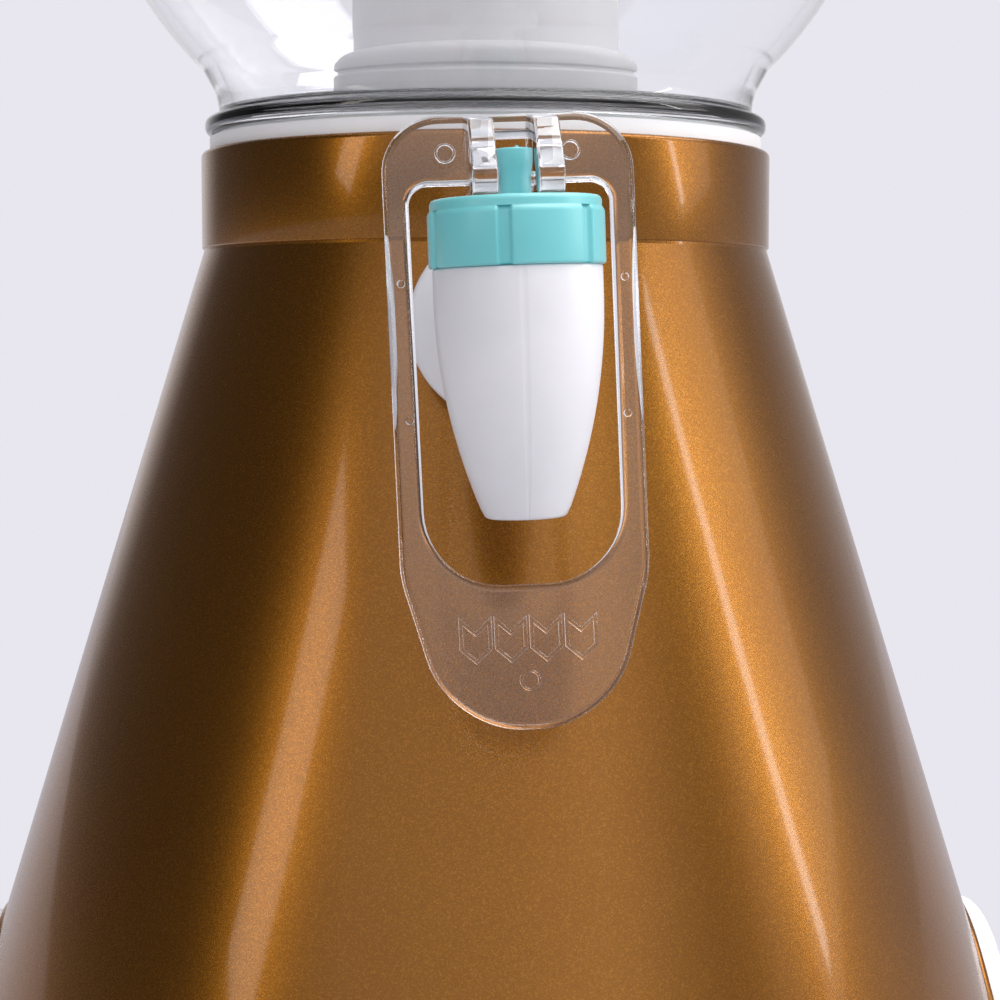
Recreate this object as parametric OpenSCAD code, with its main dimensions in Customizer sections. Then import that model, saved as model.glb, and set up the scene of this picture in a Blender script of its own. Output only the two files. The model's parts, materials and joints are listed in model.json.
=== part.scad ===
// Globe drinks dispenser with a push-lever tap.
// The origin is on the table, on the dispenser's axis. +Z is up and the tap points along -Y.

/* [Base shell] */
// Outer diameter of the shell at its lower edge
base_d = 269; // [220:1:330]
// Outer diameter of the straight neck
neck_d = 123; // [108:1:150]
// Height of the cone, from its lower edge to the neck
cone_h = 236; // [190:1:290]
// Height of the straight neck
neck_h = 21; // [16:1:40]
// Wall thickness of the shell
shell_wall = 3; // [2:0.5:4]
// Radius of the boss that takes a base screw
boss_r = 4; // [3.5:0.5:6]
// Number of base screws
screw_count = 4; // [3:1:6]
// Radius of a base screw's thread
screw_r = 1.5; // [1.2:0.1:2]

/* [Base plate and foot] */
// Thickness of the plate that closes the base
plate_t = 3; // [2.5:0.5:5]
// Thickness of the non-slip pad
pad_t = 2; // [1:0.5:4]
// How far the pad's edge lies inside the plate's edge
pad_inset = 3; // [1:1:10]

/* [Side ports] */
// Diameter of a side port's bore
port_d = 72; // [60:1:100]
// Height of the ports' centre above the table
port_z = 56; // [50:1:80]
// Wall of the collar round a port
collar_wall = 2.5; // [2:0.5:4]
// Height of the rim round a port above the shell
port_rim = 1; // [1:0.2:4]
// How far a cap's flat face stands out of the shell at the top of its port
cap_proud = 6; // [2:0.5:9]
// Depth of a side cap's skirt
cap_depth = 14; // [8:1:20]
// Wall thickness of a side cap
cap_wall = 2.5; // [1.5:0.5:4]

/* [Vessel] */
// Outer radius of the globe
globe_r = 88; // [76:1:110]
// Wall thickness of the globe and its neck
globe_wall = 3; // [2:0.5:4]
// Outer radius of the globe's neck
globe_neck_r = 58; // [54:0.5:60]
// Outer radius of the mouth's collar
mouth_r = 55; // [48:0.5:60]
// Height of the mouth's collar
mouth_h = 11; // [8:1:20]
// Height of the globe's lower flange
flange_t = 3.5; // [2.5:0.5:6]
// Outer radius of the sump
sump_r = 54; // [48:0.5:55]
// Wall thickness of the sump
sump_wall = 2.5; // [2:0.5:3]
// Thickness of the sump's flange
sump_flange_t = 3.3; // [2:0.1:5]
// Depth of the sump's floor below the tap's centre
sump_depth = 14; // [13:1:30]
// Thickness of the seal between sump and globe
seal_t = 0.8; // [0.5:0.1:2]
// Depth of the spigot that goes from the globe into the sump
spigot_h = 11; // [6:1:14]

/* [Ice core] */
// Outer radius of the ice core's tube
core_r = 29; // [22:0.5:36]
// Wall thickness of the ice core's parts
core_wall = 2; // [1.5:0.5:3]
// Outer radius of the screwed collar at the tube's foot
core_collar_r = 33; // [33:0.5:38]
// Height of that collar
core_collar_h = 21; // [14:1:30]
// Height of the collar's top above the rim of the shell
core_collar_up = 23; // [16:1:30]

/* [Lid] */
// Thickness of the lid's wall
lid_wall = 3; // [2:0.5:4]
// Depth of the lid's skirt round the mouth
lid_skirt = 9; // [6:1:14]
// Rise of the lid's dome
lid_dome = 8; // [4:1:16]
// Radius of the knob
knob_r = 13; // [9:0.5:18]
// Height of the knob
knob_h = 20; // [14:1:30]

/* [Tap] */
// Distance from the shell's wall to the tap's own axis
tap_reach = 48; // [42:1:60]
// Depth of the tap's centre below the neck
tap_drop = 16; // [14:1:24]
// How far the tap leans sideways on its shank, in degrees
tap_turn = 2; // [0:0.5:4]
// Radius of the tap's wall flange
tap_flange_r = 18.2; // [15:0.2:21]
// Thickness of the tap's wall flange
tap_flange_t = 3.5; // [2:0.5:5]
// Radius of the shank's thread
shank_r = 8; // [7:0.5:9]
// Radius of the water way through the shank
way_r = 5.2; // [4:0.2:6]
// Largest radius of the tap's body
body_r = 14.4; // [13:0.2:16]
// Radius at the nozzle's end
nozzle_r = 7; // [6:0.2:9]
// Length of the body below the bonnet cap
body_h = 42.4; // [38:0.2:52]
// Height of the body's shoulder above the shank's centre
shoulder_z = 9.3; // [9:0.1:11]
// Radius of the outlet bore
outlet_r = 4.8; // [3.5:0.1:5.5]
// Outer radius of the bonnet cap
bonnet_r = 15; // [14.6:0.1:17]
// Height of the bonnet cap
bonnet_h = 11.5; // [10:0.5:14]
// Number of grip grooves round the bonnet cap
groove_count = 6; // [4:1:12]
// Radius of the valve stem
stem_r = 2.75; // [2.4:0.05:3]
// Turns of the return spring
spring_turns = 7; // [5:1:10]

/* [Push lever] */
// Half width of the lever at its top
lever_top_w = 22.3; // [21.5:0.1:24]
// Half width of the lever at its shoulders
lever_low_w = 21.7; // [20.5:0.1:23]
// Height of the lever's top edge above its pivot
lever_up = 12.8; // [12:0.1:15]
// Length of the lever below its pivot
lever_down = 95.1; // [84:0.1:105]
// Depth of the lever's shoulders below its pivot
lever_shoulder = 68.3; // [60:0.1:76]
// Half width that the tapered paddle comes down to
lever_tip_w = 14.2; // [13.5:0.1:18]
// Thickness of the lever's plate
lever_t = 3; // [2.4:0.1:3.6]
// Width of the strut beside the lever's window
strut_w = 4.6; // [4:0.1:5.4]
// Lean of the lever at rest, with its lower end outwards, in degrees
lever_lean = 8.5; // [6:0.5:10]
// Distance from the pivot back to the middle of the lever's plate
lever_back = 17; // [15.5:0.5:20]
// Distance from the pivot forward to the heel that rolls on the bonnet cap
heel_reach = 8.8; // [7:0.1:10]
// Radius of the heel, which is also the height of the pivot above the bonnet cap
heel_r = 3.15; // [2.6:0.05:4]
// Radius of the pivot studs
stud_r = 1.2; // [1:0.05:1.4]
// Thickness of the cheeks beside the valve stem
cheek_t = 4.3; // [3:0.1:5]

/* [Fits] */
// Gap between fixed pieces that slide together
fit = 0.15; // [0.1:0.05:0.3]
// Gap between a turning or sliding piece and its bearing
running = 0.05; // [0.03:0.01:0.08]

/* [Hidden] */

$fn = 96;
cut = 1; // how far a cutting shape runs past what it cuts
arc_steps = 24; // straight pieces in a revolved arc

// Levels and radii of the base
base_r = base_d / 2;
neck_r = neck_d / 2;
cone_z = pad_t + cone_h;
rim_z = cone_z + neck_h;
slope = (base_r - neck_r) / cone_h;
wall_x = shell_wall * sqrt(1 + slope * slope); // the cone's wall, measured level
plate_top = pad_t + plate_t;
plate_r = cone_r(plate_top) - wall_x - 2 * fit;
boss_pos = plate_r - boss_r - 4; // leaves 4 mm of plate outside a boss
boss_h = (wall_x + 2 * boss_r + 6) / slope; // tall enough to run into the sloping wall
screw_head_r = 2.3 * screw_r;
screw_head_t = 1.2 * screw_r;

// Side ports
port_r = port_d / 2;
cap_face = cone_r(port_z + port_r) + cap_proud;
ledge_x = cap_face - cap_depth;
ledge_t = 2;
ledge_w = 4;

// Vessel
tap_z = cone_z - tap_drop;
floor_z = tap_z - sump_depth;
floor_t = 3;
sump_in = sump_r - sump_wall;
sump_flange_r = neck_r - 1.5;
sump_top = rim_z + sump_flange_t;
flange_z = sump_top + seal_t;
flange_r = neck_r - 0.5;
neck_in = globe_neck_r - globe_wall;
spigot_r = sump_in - fit;
spigot_in = spigot_r - globe_wall;
globe_in = globe_r - globe_wall;
globe_z = flange_z + flange_t + 7.6 + sqrt(pow(globe_r, 2) - pow(globe_neck_r, 2));
shoulder_top = globe_z + sqrt(pow(globe_r, 2) - pow(mouth_r, 2));
mouth_z = shoulder_top + mouth_h;
mouth_in = mouth_r - globe_wall;

// Ice core
core_stand = 0.2; // the core stands this far above the sump's floor until it settles
collar_top = rim_z + core_collar_up;
collar_z = collar_top - core_collar_h;
core_low_r = core_r + 1;
core_low_in = core_r - 2.5;
core_seal_t = 1.5;

// Lid
lid_z = mouth_z + 1; // the lid's plate lies on the lid seal
lid_in = mouth_r + 2;
lid_r = lid_in + lid_wall;
lid_top = lid_z + lid_wall + lid_dome;
socket_h = 15;
socket_in = core_r + fit;
core_top = lid_z - 1;

// Tap: levels in the tap's own frame, with its origin on the shank's centre line
wall_y = cone_r(tap_z);
tap_y = -(wall_y + tap_reach);
nozzle_z = shoulder_z - body_h;
bonnet_top = shoulder_z + bonnet_h;
bonnet_wall = 1.6;
thread_r = bonnet_r - 2.4;
thread_top = bonnet_top - bonnet_wall - 1.2;
chamber_r = thread_r - 1.8;
chamber_z = -8;
flange_back = -(cone_r(tap_z - tap_flange_r) + 1) - tap_y;
shank_end = -tap_y - sump_in + 12;
washer_y = sump_in - 3.6;
nut_h = 7;
groove_turn = -101; // angle of the first grip groove, close to the front

// Valve
pivot_z = bonnet_top + running + heel_r;
stem_top = pivot_z + 5.1;
stem_head_r = stem_r + 0.45;
foot_z = chamber_z + 2.5;
foot_t = 2;
foot_r = 4.5;
cup_r = outlet_r + 3.5;
cup_top = chamber_z + 6.5;
coil_r = 5;
wire_r = 0.5;
spring_low = cup_top + running;
spring_high = thread_top;

// Lever
fork_half = stem_head_r + 0.15;
web_t = 4.4; // web that closes the slot between the cheeks at its top
window_top = 0.3;
window_low = 25.1 - lever_down;

// Radius of the shell's outside at height z
function cone_r(z) = z < cone_z ? neck_r + slope * (cone_z - z) : neck_r;

// Points of an arc about [x, y], from angle a to angle b
function arc(x, y, r, a, b, n = arc_steps) =
    [for (i = [0:n]) let (t = a + (b - a) * i / n) [x + r * cos(t), y + r * sin(t)]];

// Solid of revolution about Z from a profile of [radius, height] points
module turned(points) {
    rotate_extrude() polygon(points);
}

module ring(r_out, r_in, h) {
    difference() {
        cylinder(r = r_out, h = h);
        translate([0, 0, -cut]) cylinder(r = r_in, h = h + 2 * cut);
    }
}

// Cylinder that points along +Y from y = 0
module along_y(r, h) {
    rotate([-90, 0, 0]) cylinder(r = r, h = h);
}

// Solid inside the shell's outside, grown by more; negative more shrinks it
module cone_solid(more, low = pad_t, high = rim_z) {
    turned([
        [0, low], [cone_r(low) + more, low], [neck_r + more, cone_z], [neck_r + more, high], [0, high]
    ]);
}

// Puts its children into the tap's frame
module at_tap() {
    translate([0, tap_y, tap_z]) rotate([0, -tap_turn, 0]) children();
}

// Places its children at each base screw
module each_screw() {
    for (i = [0:screw_count - 1])
        rotate([0, 0, 45 + i * 360 / screw_count]) translate([boss_pos, 0, 0]) children();
}

// Turns its children so that their Z runs along +X or, with side = -1, along -X, at a port's height
module at_port(side) {
    translate([0, 0, port_z]) rotate([0, side * 90, 0]) children();
}

module base_shell() {
    color("#8a5a28") difference() {
        union() {
            difference() {
                cone_solid(0);
                turned([
                    [0, pad_t - cut], [cone_r(pad_t - cut) - wall_x, pad_t - cut],
                    [neck_r - wall_x, cone_z], [neck_r - shell_wall, cone_z + cut],
                    [neck_r - shell_wall, rim_z + cut], [0, rim_z + cut]
                ]);
            }
            intersection() {
                cone_solid(-shell_wall / 2);
                each_screw() translate([0, 0, plate_top]) cylinder(r = boss_r, h = boss_h);
            }
        }
        at_port(1) cylinder(r = port_r + collar_wall, h = 3 * base_r, center = true);
        each_screw() translate([0, 0, plate_top - cut]) cylinder(r = screw_r + running, h = 14 + cut);
        translate([0, -base_r, tap_z]) along_y(shank_r + 2 * fit, base_r);
    }
}

// Ring in a side port, shaped to the cone outside, with a ledge inside for the side cap
module port_collar(side) {
    color("#8a5a28") intersection() {
        cone_solid(port_rim, pad_t, cone_z);
        at_port(side) difference() {
            translate([0, 0, ledge_x - ledge_t]) cylinder(r = port_r + collar_wall, h = base_r);
            translate([0, 0, ledge_x]) cylinder(r = port_r, h = base_r);
            translate([0, 0, ledge_x - ledge_t - cut]) cylinder(r = port_r - ledge_w, h = base_r);
        }
    }
}

module base_plate() {
    color("#3a3632") difference() {
        translate([0, 0, pad_t]) cylinder(r = plate_r, h = plate_t);
        each_screw() {
            translate([0, 0, pad_t - cut]) cylinder(r = screw_r + fit, h = plate_t + 2 * cut);
            translate([0, 0, pad_t - cut]) cylinder(r = screw_head_r + fit, h = screw_head_t + cut);
        }
    }
}

module foot_pad() {
    color("#222222") cylinder(r = plate_r - pad_inset, h = pad_t);
}

module base_screws() {
    color("#b8b8b8") each_screw() translate([0, 0, pad_t]) {
        difference() {
            cylinder(r = screw_head_r, h = screw_head_t, $fn = 48);
            for (a = [0, 90]) rotate([0, 0, a])
                cube([screw_head_r, 0.6, screw_head_t], center = true);
        }
        translate([0, 0, screw_head_t]) cylinder(r = screw_r, h = 12, $fn = 48);
    }
}

// Flat disc with a rounded edge and a skirt that seats on the ledge in its port
module side_cap(side) {
    edge = 2;
    r = port_r - fit;
    color("#f4f4f6") at_port(side) turned(concat(
        [[r - cap_wall, ledge_x], [r, ledge_x]],
        arc(r - edge, cap_face - edge, edge, 0, 90, 6),
        [[0, cap_face], [0, cap_face - cap_wall], [r - cap_wall, cap_face - cap_wall]]
    ));
}

module sump() {
    color("#dfe8ea", 0.5) difference() {
        turned([
            [0, floor_z - floor_t], [sump_r, floor_z - floor_t], [sump_r, rim_z],
            [sump_flange_r, rim_z], [sump_flange_r, sump_top], [sump_in, sump_top],
            [sump_in, floor_z], [0, floor_z]
        ]);
        translate([0, -base_r, tap_z]) along_y(shank_r + 2 * fit, base_r);
    }
}

module sump_seal() {
    color("#c9d4d2") translate([0, 0, sump_top]) ring(sump_flange_r - 1.6, sump_in + 1, seal_t);
}

// Globe with a neck, a lower flange and spigot, and a collar round its mouth
module globe() {
    low = asin((globe_z - (flange_z + flange_t + 7.6)) / globe_r);
    high = asin((shoulder_top - globe_z) / globe_r);
    in_low = acos(neck_in / globe_in);
    in_high = acos(mouth_in / globe_in);
    bead = 1.4;
    color("#e8eff2", 0.35) turned(concat(
        [[spigot_in, flange_z - spigot_h], [spigot_r, flange_z - spigot_h], [spigot_r, flange_z]],
        arc(flange_r - bead, flange_z + bead, bead, -90, 0, 6),
        arc(flange_r - bead, flange_z + flange_t - bead, bead, 0, 90, 6),
        [[globe_neck_r, flange_z + flange_t]],
        arc(0, globe_z, globe_r, -low, high),
        [[mouth_r, mouth_z], [mouth_in, mouth_z]],
        arc(0, globe_z, globe_in, in_high, -in_low),
        [[neck_in, flange_z + flange_t], [spigot_in, flange_z + flange_t]]
    ));
}

// Cup of the ice core, with the collar that the tube screws into
module core_base() {
    low = floor_z + core_stand;
    round_r = 3;
    groove_z = collar_top - 7.3;
    color("#f2f2f0") turned(concat(
        [[0, low], [core_low_r, low], [core_low_r, collar_z - 3], [core_collar_r, collar_z],
         [core_collar_r, groove_z - 1], [core_collar_r - 0.8, groove_z - 0.4],
         [core_collar_r - 0.8, groove_z + 0.4], [core_collar_r, groove_z + 1]],
        arc(core_collar_r - round_r, collar_top - round_r, round_r, 0, 90, 8),
        [[core_r + fit, collar_top], [core_r + fit, collar_z],
         [core_low_in, collar_z], [core_low_in, low + core_wall], [0, low + core_wall]]
    ));
}

module core_seal() {
    color("#d5dcda") translate([0, 0, collar_z]) ring(core_r, core_low_in + fit, core_seal_t);
}

module core_tube() {
    low = collar_z + core_seal_t;
    color("#f2f2f0") turned([
        [core_r - core_wall, low], [core_r, low], [core_r, core_top],
        [0, core_top], [0, core_top - core_wall], [core_r - core_wall, core_top - core_wall]
    ]);
}

module lid() {
    dome_r = (pow(lid_r, 2) + pow(lid_dome, 2)) / (2 * lid_dome);
    dome_z = lid_top - dome_r;
    half = asin(lid_r / dome_r);
    color("#8a5a28") difference() {
        turned(concat(
            [[0, lid_z], [socket_in, lid_z], [socket_in, lid_z - socket_h],
             [socket_in + 2, lid_z - socket_h], [socket_in + 2, lid_z], [lid_in, lid_z],
             [lid_in, lid_z - lid_skirt], [lid_r, lid_z - lid_skirt]],
            arc(0, dome_z, dome_r, 90 - half, 90, 16)
        ));
        translate([0, 0, lid_z - cut]) cylinder(r = screw_r + fit, h = lid_wall + lid_dome + 2 * cut);
        translate([0, 0, lid_z - cut]) cylinder(r = screw_head_r + fit, h = screw_head_t + cut);
    }
}

module lid_seal() {
    color("#d5dcda") translate([0, 0, mouth_z]) ring(mouth_r + 1, mouth_in - 1, lid_z - mouth_z);
}

// Waisted knob that stands on the top of the lid's dome
module lid_knob() {
    foot = 0.7 * knob_r;
    waist = 0.5 * knob_r;
    head = 0.35 * knob_h;
    color("#8a5a28") difference() {
        turned(concat(
            [[0, lid_top], [foot, lid_top], [foot, lid_top + 1.5], [waist, lid_top + 0.25 * knob_h],
             [waist, lid_top + 0.5 * knob_h]],
            arc(knob_r - 2, lid_top + knob_h - head + 2, 2, -90, 0, 5),
            arc(knob_r - 4, lid_top + knob_h - 4, 4, 0, 90, 8),
            [[0, lid_top + knob_h]]
        ));
        translate([0, 0, lid_top - cut]) cylinder(r = screw_r + running, h = 11 + cut);
    }
}

module knob_screw() {
    color("#b8b8b8") translate([0, 0, lid_z]) {
        cylinder(r = screw_head_r, h = screw_head_t, $fn = 48);
        translate([0, 0, screw_head_t])
            cylinder(r = screw_r, h = lid_wall + lid_dome - screw_head_t + 9, $fn = 48);
    }
}

// White body: nozzle, valve chamber, neck tube, wall flange and threaded shank
module tap_body() {
    straight = 5; // the body stays cylindrical this far below its shoulder
    bulge = (pow(body_h - straight, 2) + pow(body_r - nozzle_r, 2)) / (2 * (body_r - nozzle_r));
    sweep = asin((body_h - straight) / bulge);
    color("#f4f4f6") at_tap() difference() {
        union() {
            turned(concat(
                [[0, nozzle_z]],
                arc(body_r - bulge, shoulder_z - straight, bulge, -sweep, 0, 14),
                [[body_r, shoulder_z], [thread_r, shoulder_z], [thread_r, thread_top], [0, thread_top]]
            ));
            along_y(shank_r + 1.2, flange_back);
            translate([0, flange_back - tap_flange_t, 0]) along_y(tap_flange_r, tap_flange_t);
            along_y(shank_r, shank_end);
        }
        translate([0, 0, chamber_z]) cylinder(r = chamber_r, h = thread_top - chamber_z + cut);
        translate([0, 0, nozzle_z - cut]) cylinder(r = outlet_r, h = body_h);
        along_y(way_r, shank_end + cut);
    }
}

// Wedge that turns the sloping wall into an upright seat for the tap's flange
module bevel_gasket() {
    color("#f0f0f2") difference() {
        translate([0, tap_y + flange_back, tap_z]) along_y(tap_flange_r - fit, wall_y);
        cone_solid(running, pad_t, rim_z + neck_h);
        translate([0, -base_r, tap_z]) along_y(shank_r + fit, base_r);
        cylinder(r = neck_r, h = rim_z + neck_h);
    }
}

// Ring between the shell's inside and the sump, shaped to both
module saddle_spacer() {
    color("#f0f0f2") difference() {
        intersection() {
            translate([0, -wall_y, tap_z]) along_y(shank_r + 5.5, wall_y);
            turned([
                [0, floor_z], [cone_r(floor_z) - wall_x - running, floor_z],
                [neck_r - wall_x - running, cone_z], [0, cone_z]
            ]);
        }
        cylinder(r = sump_r + running, h = rim_z);
        translate([0, -base_r, tap_z]) along_y(shank_r + fit, base_r);
    }
}

module shank_washer() {
    color("#d5dcda") difference() {
        intersection() {
            translate([0, -sump_r, tap_z]) along_y(shank_r + 3.6, sump_r - washer_y);
            cylinder(r = sump_in - running, h = rim_z);
        }
        translate([0, -base_r, tap_z]) along_y(shank_r + fit, base_r);
    }
}

module lock_nut() {
    color("#f4f4f6") translate([0, -washer_y, tap_z]) difference() {
        rotate([-90, 30, 0]) cylinder(r = shank_r + 5, h = nut_h, $fn = 6);
        translate([0, -cut, 0]) along_y(shank_r + running, nut_h + 2 * cut);
    }
}

// Screw cap with grip grooves that holds the valve in the body
module bonnet_cap() {
    groove_w = 2.4;
    groove_d = 0.8;
    rim_h = 2.2;
    color("#5cc6c2") at_tap() difference() {
        translate([0, 0, shoulder_z]) cylinder(r = bonnet_r, h = bonnet_h);
        translate([0, 0, shoulder_z - cut])
            cylinder(r = thread_r + fit, h = bonnet_h - bonnet_wall + cut);
        cylinder(r = stem_r + running, h = bonnet_top + cut);
        for (i = [0:groove_count - 1])
            rotate([0, 0, groove_turn + i * 360 / groove_count])
                translate([bonnet_r - groove_d, -groove_w / 2, shoulder_z - cut])
                    cube([groove_d + cut, groove_w, bonnet_h - rim_h + cut]);
    }
}

module bonnet_seal() {
    color("#d5dcda") at_tap() translate([0, 0, thread_top])
        ring(thread_r - 0.2, stem_r + 0.4, bonnet_top - bonnet_wall - thread_top);
}

module valve_stem() {
    color("#5cc6c2") at_tap() difference() {
        turned([
            [0, foot_z], [foot_r, foot_z], [foot_r, foot_z + foot_t], [stem_r, foot_z + foot_t],
            [stem_r, stem_top - 4.6], [stem_head_r, stem_top - 2.4], [stem_head_r, stem_top - 0.4],
            [stem_head_r - 0.4, stem_top], [0, stem_top]
        ]);
        translate([-foot_r, 0, pivot_z]) rotate([0, 90, 0]) cylinder(r = stud_r + running, h = 2 * foot_r);
    }
}

// Soft cup on the stem's foot that closes the outlet
module seat_cup() {
    color("#d5dcda") at_tap() difference() {
        turned([
            [0, chamber_z], [cup_r, chamber_z], [cup_r, chamber_z + 2], [coil_r + 1, cup_top], [0, cup_top]
        ]);
        translate([0, 0, foot_z - running]) cylinder(r = foot_r + running, h = foot_t + 2 * running);
        translate([0, 0, foot_z]) cylinder(r = stem_r + running, h = cup_top - foot_z + cut);
    }
}

// Coil spring swept as one tube of six sides along a helix, with both ends capped
module return_spring() {
    sides = 6;
    per_turn = 12;
    steps = spring_turns * per_turn;
    rise = spring_high - spring_low - 2 * wire_r - 2 * running;
    points = [for (i = [0:steps], k = [0:sides - 1])
        let (a = 360 * i / per_turn, b = 360 * k / sides, r = coil_r + wire_r * cos(b))
        [r * cos(a), r * sin(a), spring_low + running + wire_r + rise * i / steps + wire_r * sin(b)]];
    walls = [for (i = [0:steps - 1], k = [0:sides - 1])
        let (n = (k + 1) % sides, p = i * sides)
        [p + k, p + sides + k, p + sides + n, p + n]];
    ends = [[for (k = [0:sides - 1]) k], [for (k = [sides - 1:-1:0]) steps * sides + k]];
    color("#c4c8ca") at_tap() polyhedron(points, concat(walls, ends));
}

// Outline of the lever's plate, with its pivot at the origin and its top along +Y
module lever_outline() {
    top_round = 10.3;
    side_round = 12;
    tip_round = 17;
    hull($fn = 64) for (s = [-1, 1]) {
        translate([s * (lever_top_w - top_round), lever_up - top_round]) circle(r = top_round);
        translate([s * (lever_low_w - side_round), 1.6 - lever_shoulder]) circle(r = side_round);
        translate([s * (lever_tip_w - 0.76 * tip_round), tip_round - lever_down]) circle(r = tip_round);
    }
}

// Window that lets the tap's neck pass through the lever
module lever_window() {
    top_round = 3.5;
    low_round = 13;
    hull($fn = 64) for (s = [-1, 1]) {
        translate([s * (lever_top_w - strut_w - top_round), window_top - top_round]) circle(r = top_round);
        translate([s * (lever_low_w - strut_w - low_round), window_low + low_round]) circle(r = low_round);
    }
}

// Clear loop behind the tap, whose two cheeks pivot on the stem and roll on the bonnet cap
module push_lever() {
    edge = 1.5;
    brow = 8.6; // height of the cheeks' front corner above the pivot
    top = lever_up - edge;
    color("#e4eaec", 0.35) at_tap() translate([0, 0, pivot_z]) {
        translate([0, lever_back, 0]) rotate([90 - lever_lean, 0, 0])
            linear_extrude(height = lever_t, center = true) difference() {
                lever_outline();
                lever_window();
                translate([-fork_half, window_top - cut])
                    square([2 * fork_half, lever_up - web_t - window_top + cut]);
            }
        for (s = [-1, 1]) {
            translate([s > 0 ? fork_half : -fork_half - cheek_t, 0, 0])
                rotate([90, 0, 90]) linear_extrude(height = cheek_t) hull($fn = 32) {
                    translate([-heel_reach, 0]) circle(r = heel_r);
                    translate([edge - heel_r, brow]) circle(r = edge);
                    translate([lever_back + top * sin(lever_lean), top * cos(lever_lean)]) circle(r = edge);
                    translate([lever_back, edge - heel_r / 2]) circle(r = edge);
                }
            translate([s > 0 ? 0.6 : -fork_half - 0.5, 0, 0])
                rotate([0, 90, 0]) cylinder(r = stud_r, h = fork_half - 0.1);
        }
    }
}

base_shell();
base_plate();
foot_pad();
base_screws();
port_collar(-1);  // left_port_collar
port_collar(1);  // right_port_collar
side_cap(-1);  // left_side_cap
side_cap(1);  // right_side_cap
sump();
sump_seal();
globe();
core_base();
core_seal();
core_tube();
lid();
lid_seal();
lid_knob();
knob_screw();
tap_body();
bevel_gasket();
saddle_spacer();
shank_washer();
lock_nut();
bonnet_cap();
bonnet_seal();
valve_stem();
seat_cup();
return_spring();
push_lever();
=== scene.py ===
# %% [markdown]
# # A globe drinks dispenser with a push-lever tap
# The engineering model of the dispenser is already packed, in metres, with its origin on the table under the
# middle of the base, +Z up and the tap pointing along -Y. This notebook keeps that model as a fixed frame and
# adds the looks: rounded, moulded pieces where a plain solid would look too sharp, and a finish for every part.

# %% Load the frame
import json
import math

import bmesh
import bpy
from mathutils import Matrix, Vector


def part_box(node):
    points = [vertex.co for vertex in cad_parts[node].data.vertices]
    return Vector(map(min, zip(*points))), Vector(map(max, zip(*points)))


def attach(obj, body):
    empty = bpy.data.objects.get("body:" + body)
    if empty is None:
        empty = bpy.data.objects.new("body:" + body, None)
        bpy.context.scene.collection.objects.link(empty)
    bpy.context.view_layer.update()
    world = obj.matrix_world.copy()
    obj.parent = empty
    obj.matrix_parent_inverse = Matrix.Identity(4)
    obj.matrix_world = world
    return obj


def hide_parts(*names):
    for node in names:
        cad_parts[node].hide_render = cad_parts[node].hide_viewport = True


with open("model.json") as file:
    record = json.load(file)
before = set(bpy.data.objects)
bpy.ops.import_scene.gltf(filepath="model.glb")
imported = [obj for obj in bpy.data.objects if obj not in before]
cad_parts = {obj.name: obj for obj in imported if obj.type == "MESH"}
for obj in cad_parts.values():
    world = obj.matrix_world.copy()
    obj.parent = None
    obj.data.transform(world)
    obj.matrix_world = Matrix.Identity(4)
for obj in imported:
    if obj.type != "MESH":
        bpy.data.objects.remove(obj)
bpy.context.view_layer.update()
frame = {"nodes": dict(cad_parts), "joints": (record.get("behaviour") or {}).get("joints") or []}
nodes = frame["nodes"]
MM = 0.001
print("nodes in the frame:", len(nodes))


# %% [markdown]
# Sizes are easier to read in millimetres, so one helper reads a node's box from the frame in millimetres.
# The tap leans a little on its shank, so its pieces are drawn in the tap's own frame and then placed with one
# matrix. That frame has its origin on the lever's pivot: X runs along the pivot pin and Z along the valve stem.
# Both directions come from the joints, so the pieces always agree with the motion.

# %% Places worked out from the frame
def box_mm(node):
    low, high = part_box(node)
    return low / MM, high / MM


joints = {joint["name"]: joint for joint in frame["joints"]}
pin_axis = Vector(joints["lever_push"]["axis"]).normalized()
stem_axis = Vector(joints["stem_lift"]["axis"]).normalized()
pivot = Vector(joints["lever_push"]["pos_m"])
tap_turn = Matrix((pin_axis, stem_axis.cross(pin_axis), stem_axis)).transposed().to_4x4()
tap_place = Matrix.Translation(pivot) @ tap_turn @ Matrix.Scale(MM, 4)
world_place = Matrix.Scale(MM, 4)

shell_low, shell_high = box_mm("base_shell")
globe_low, globe_high = box_mm("globe")
lid_high = box_mm("lid")[1]
rim_z = shell_high.z
print("rim of the shell at", round(rim_z, 1), "mm; pivot at", [round(v * 1000, 1) for v in pivot])


# %% [markdown]
# Colours are written as the hex values that a paint chart would give. Blender works in linear light, so one
# function turns them into linear numbers. A second function adds a node, sets its sockets and links its inputs:
# a link named i0 goes to input number 0, and any other goes to the input of that name.

# %% Colour and node helpers
def colour(hex_value):
    parts = [int(hex_value[i:i + 2], 16) / 255 for i in (1, 3, 5)]
    return [c / 12.92 if c <= 0.04045 else ((c + 0.055) / 1.055) ** 2.4 for c in parts] + [1.0]


def add_node(tree, kind, settings=None, **links):
    node = tree.nodes.new(kind)
    for name, value in (settings or {}).items():
        if name in node.inputs:
            node.inputs[name].default_value = value
        else:
            setattr(node, name, value)
    for name, source in links.items():
        key = int(name[1:]) if name[0] == "i" and name[1:].isdigit() else name.replace("_", " ")
        tree.links.new(source, node.inputs[key])
    return node


def ramp(tree, factor, stops):
    node = add_node(tree, "ShaderNodeValToRGB", i0=factor)
    elements = node.color_ramp.elements
    while len(elements) < len(stops):
        elements.new(0.5)
    for element, (position, value) in zip(elements, stops):
        element.position = position
        element.color = value if isinstance(value, list) else [value, value, value, 1.0]
    return node


def new_material(name, **settings):
    material = bpy.data.materials.new(name)
    material.use_nodes = True
    surface = material.node_tree.nodes["Principled BSDF"]
    for key, value in settings.items():
        surface.inputs[key.replace("_", " ")].default_value = value
    return material, material.node_tree, surface


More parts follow.
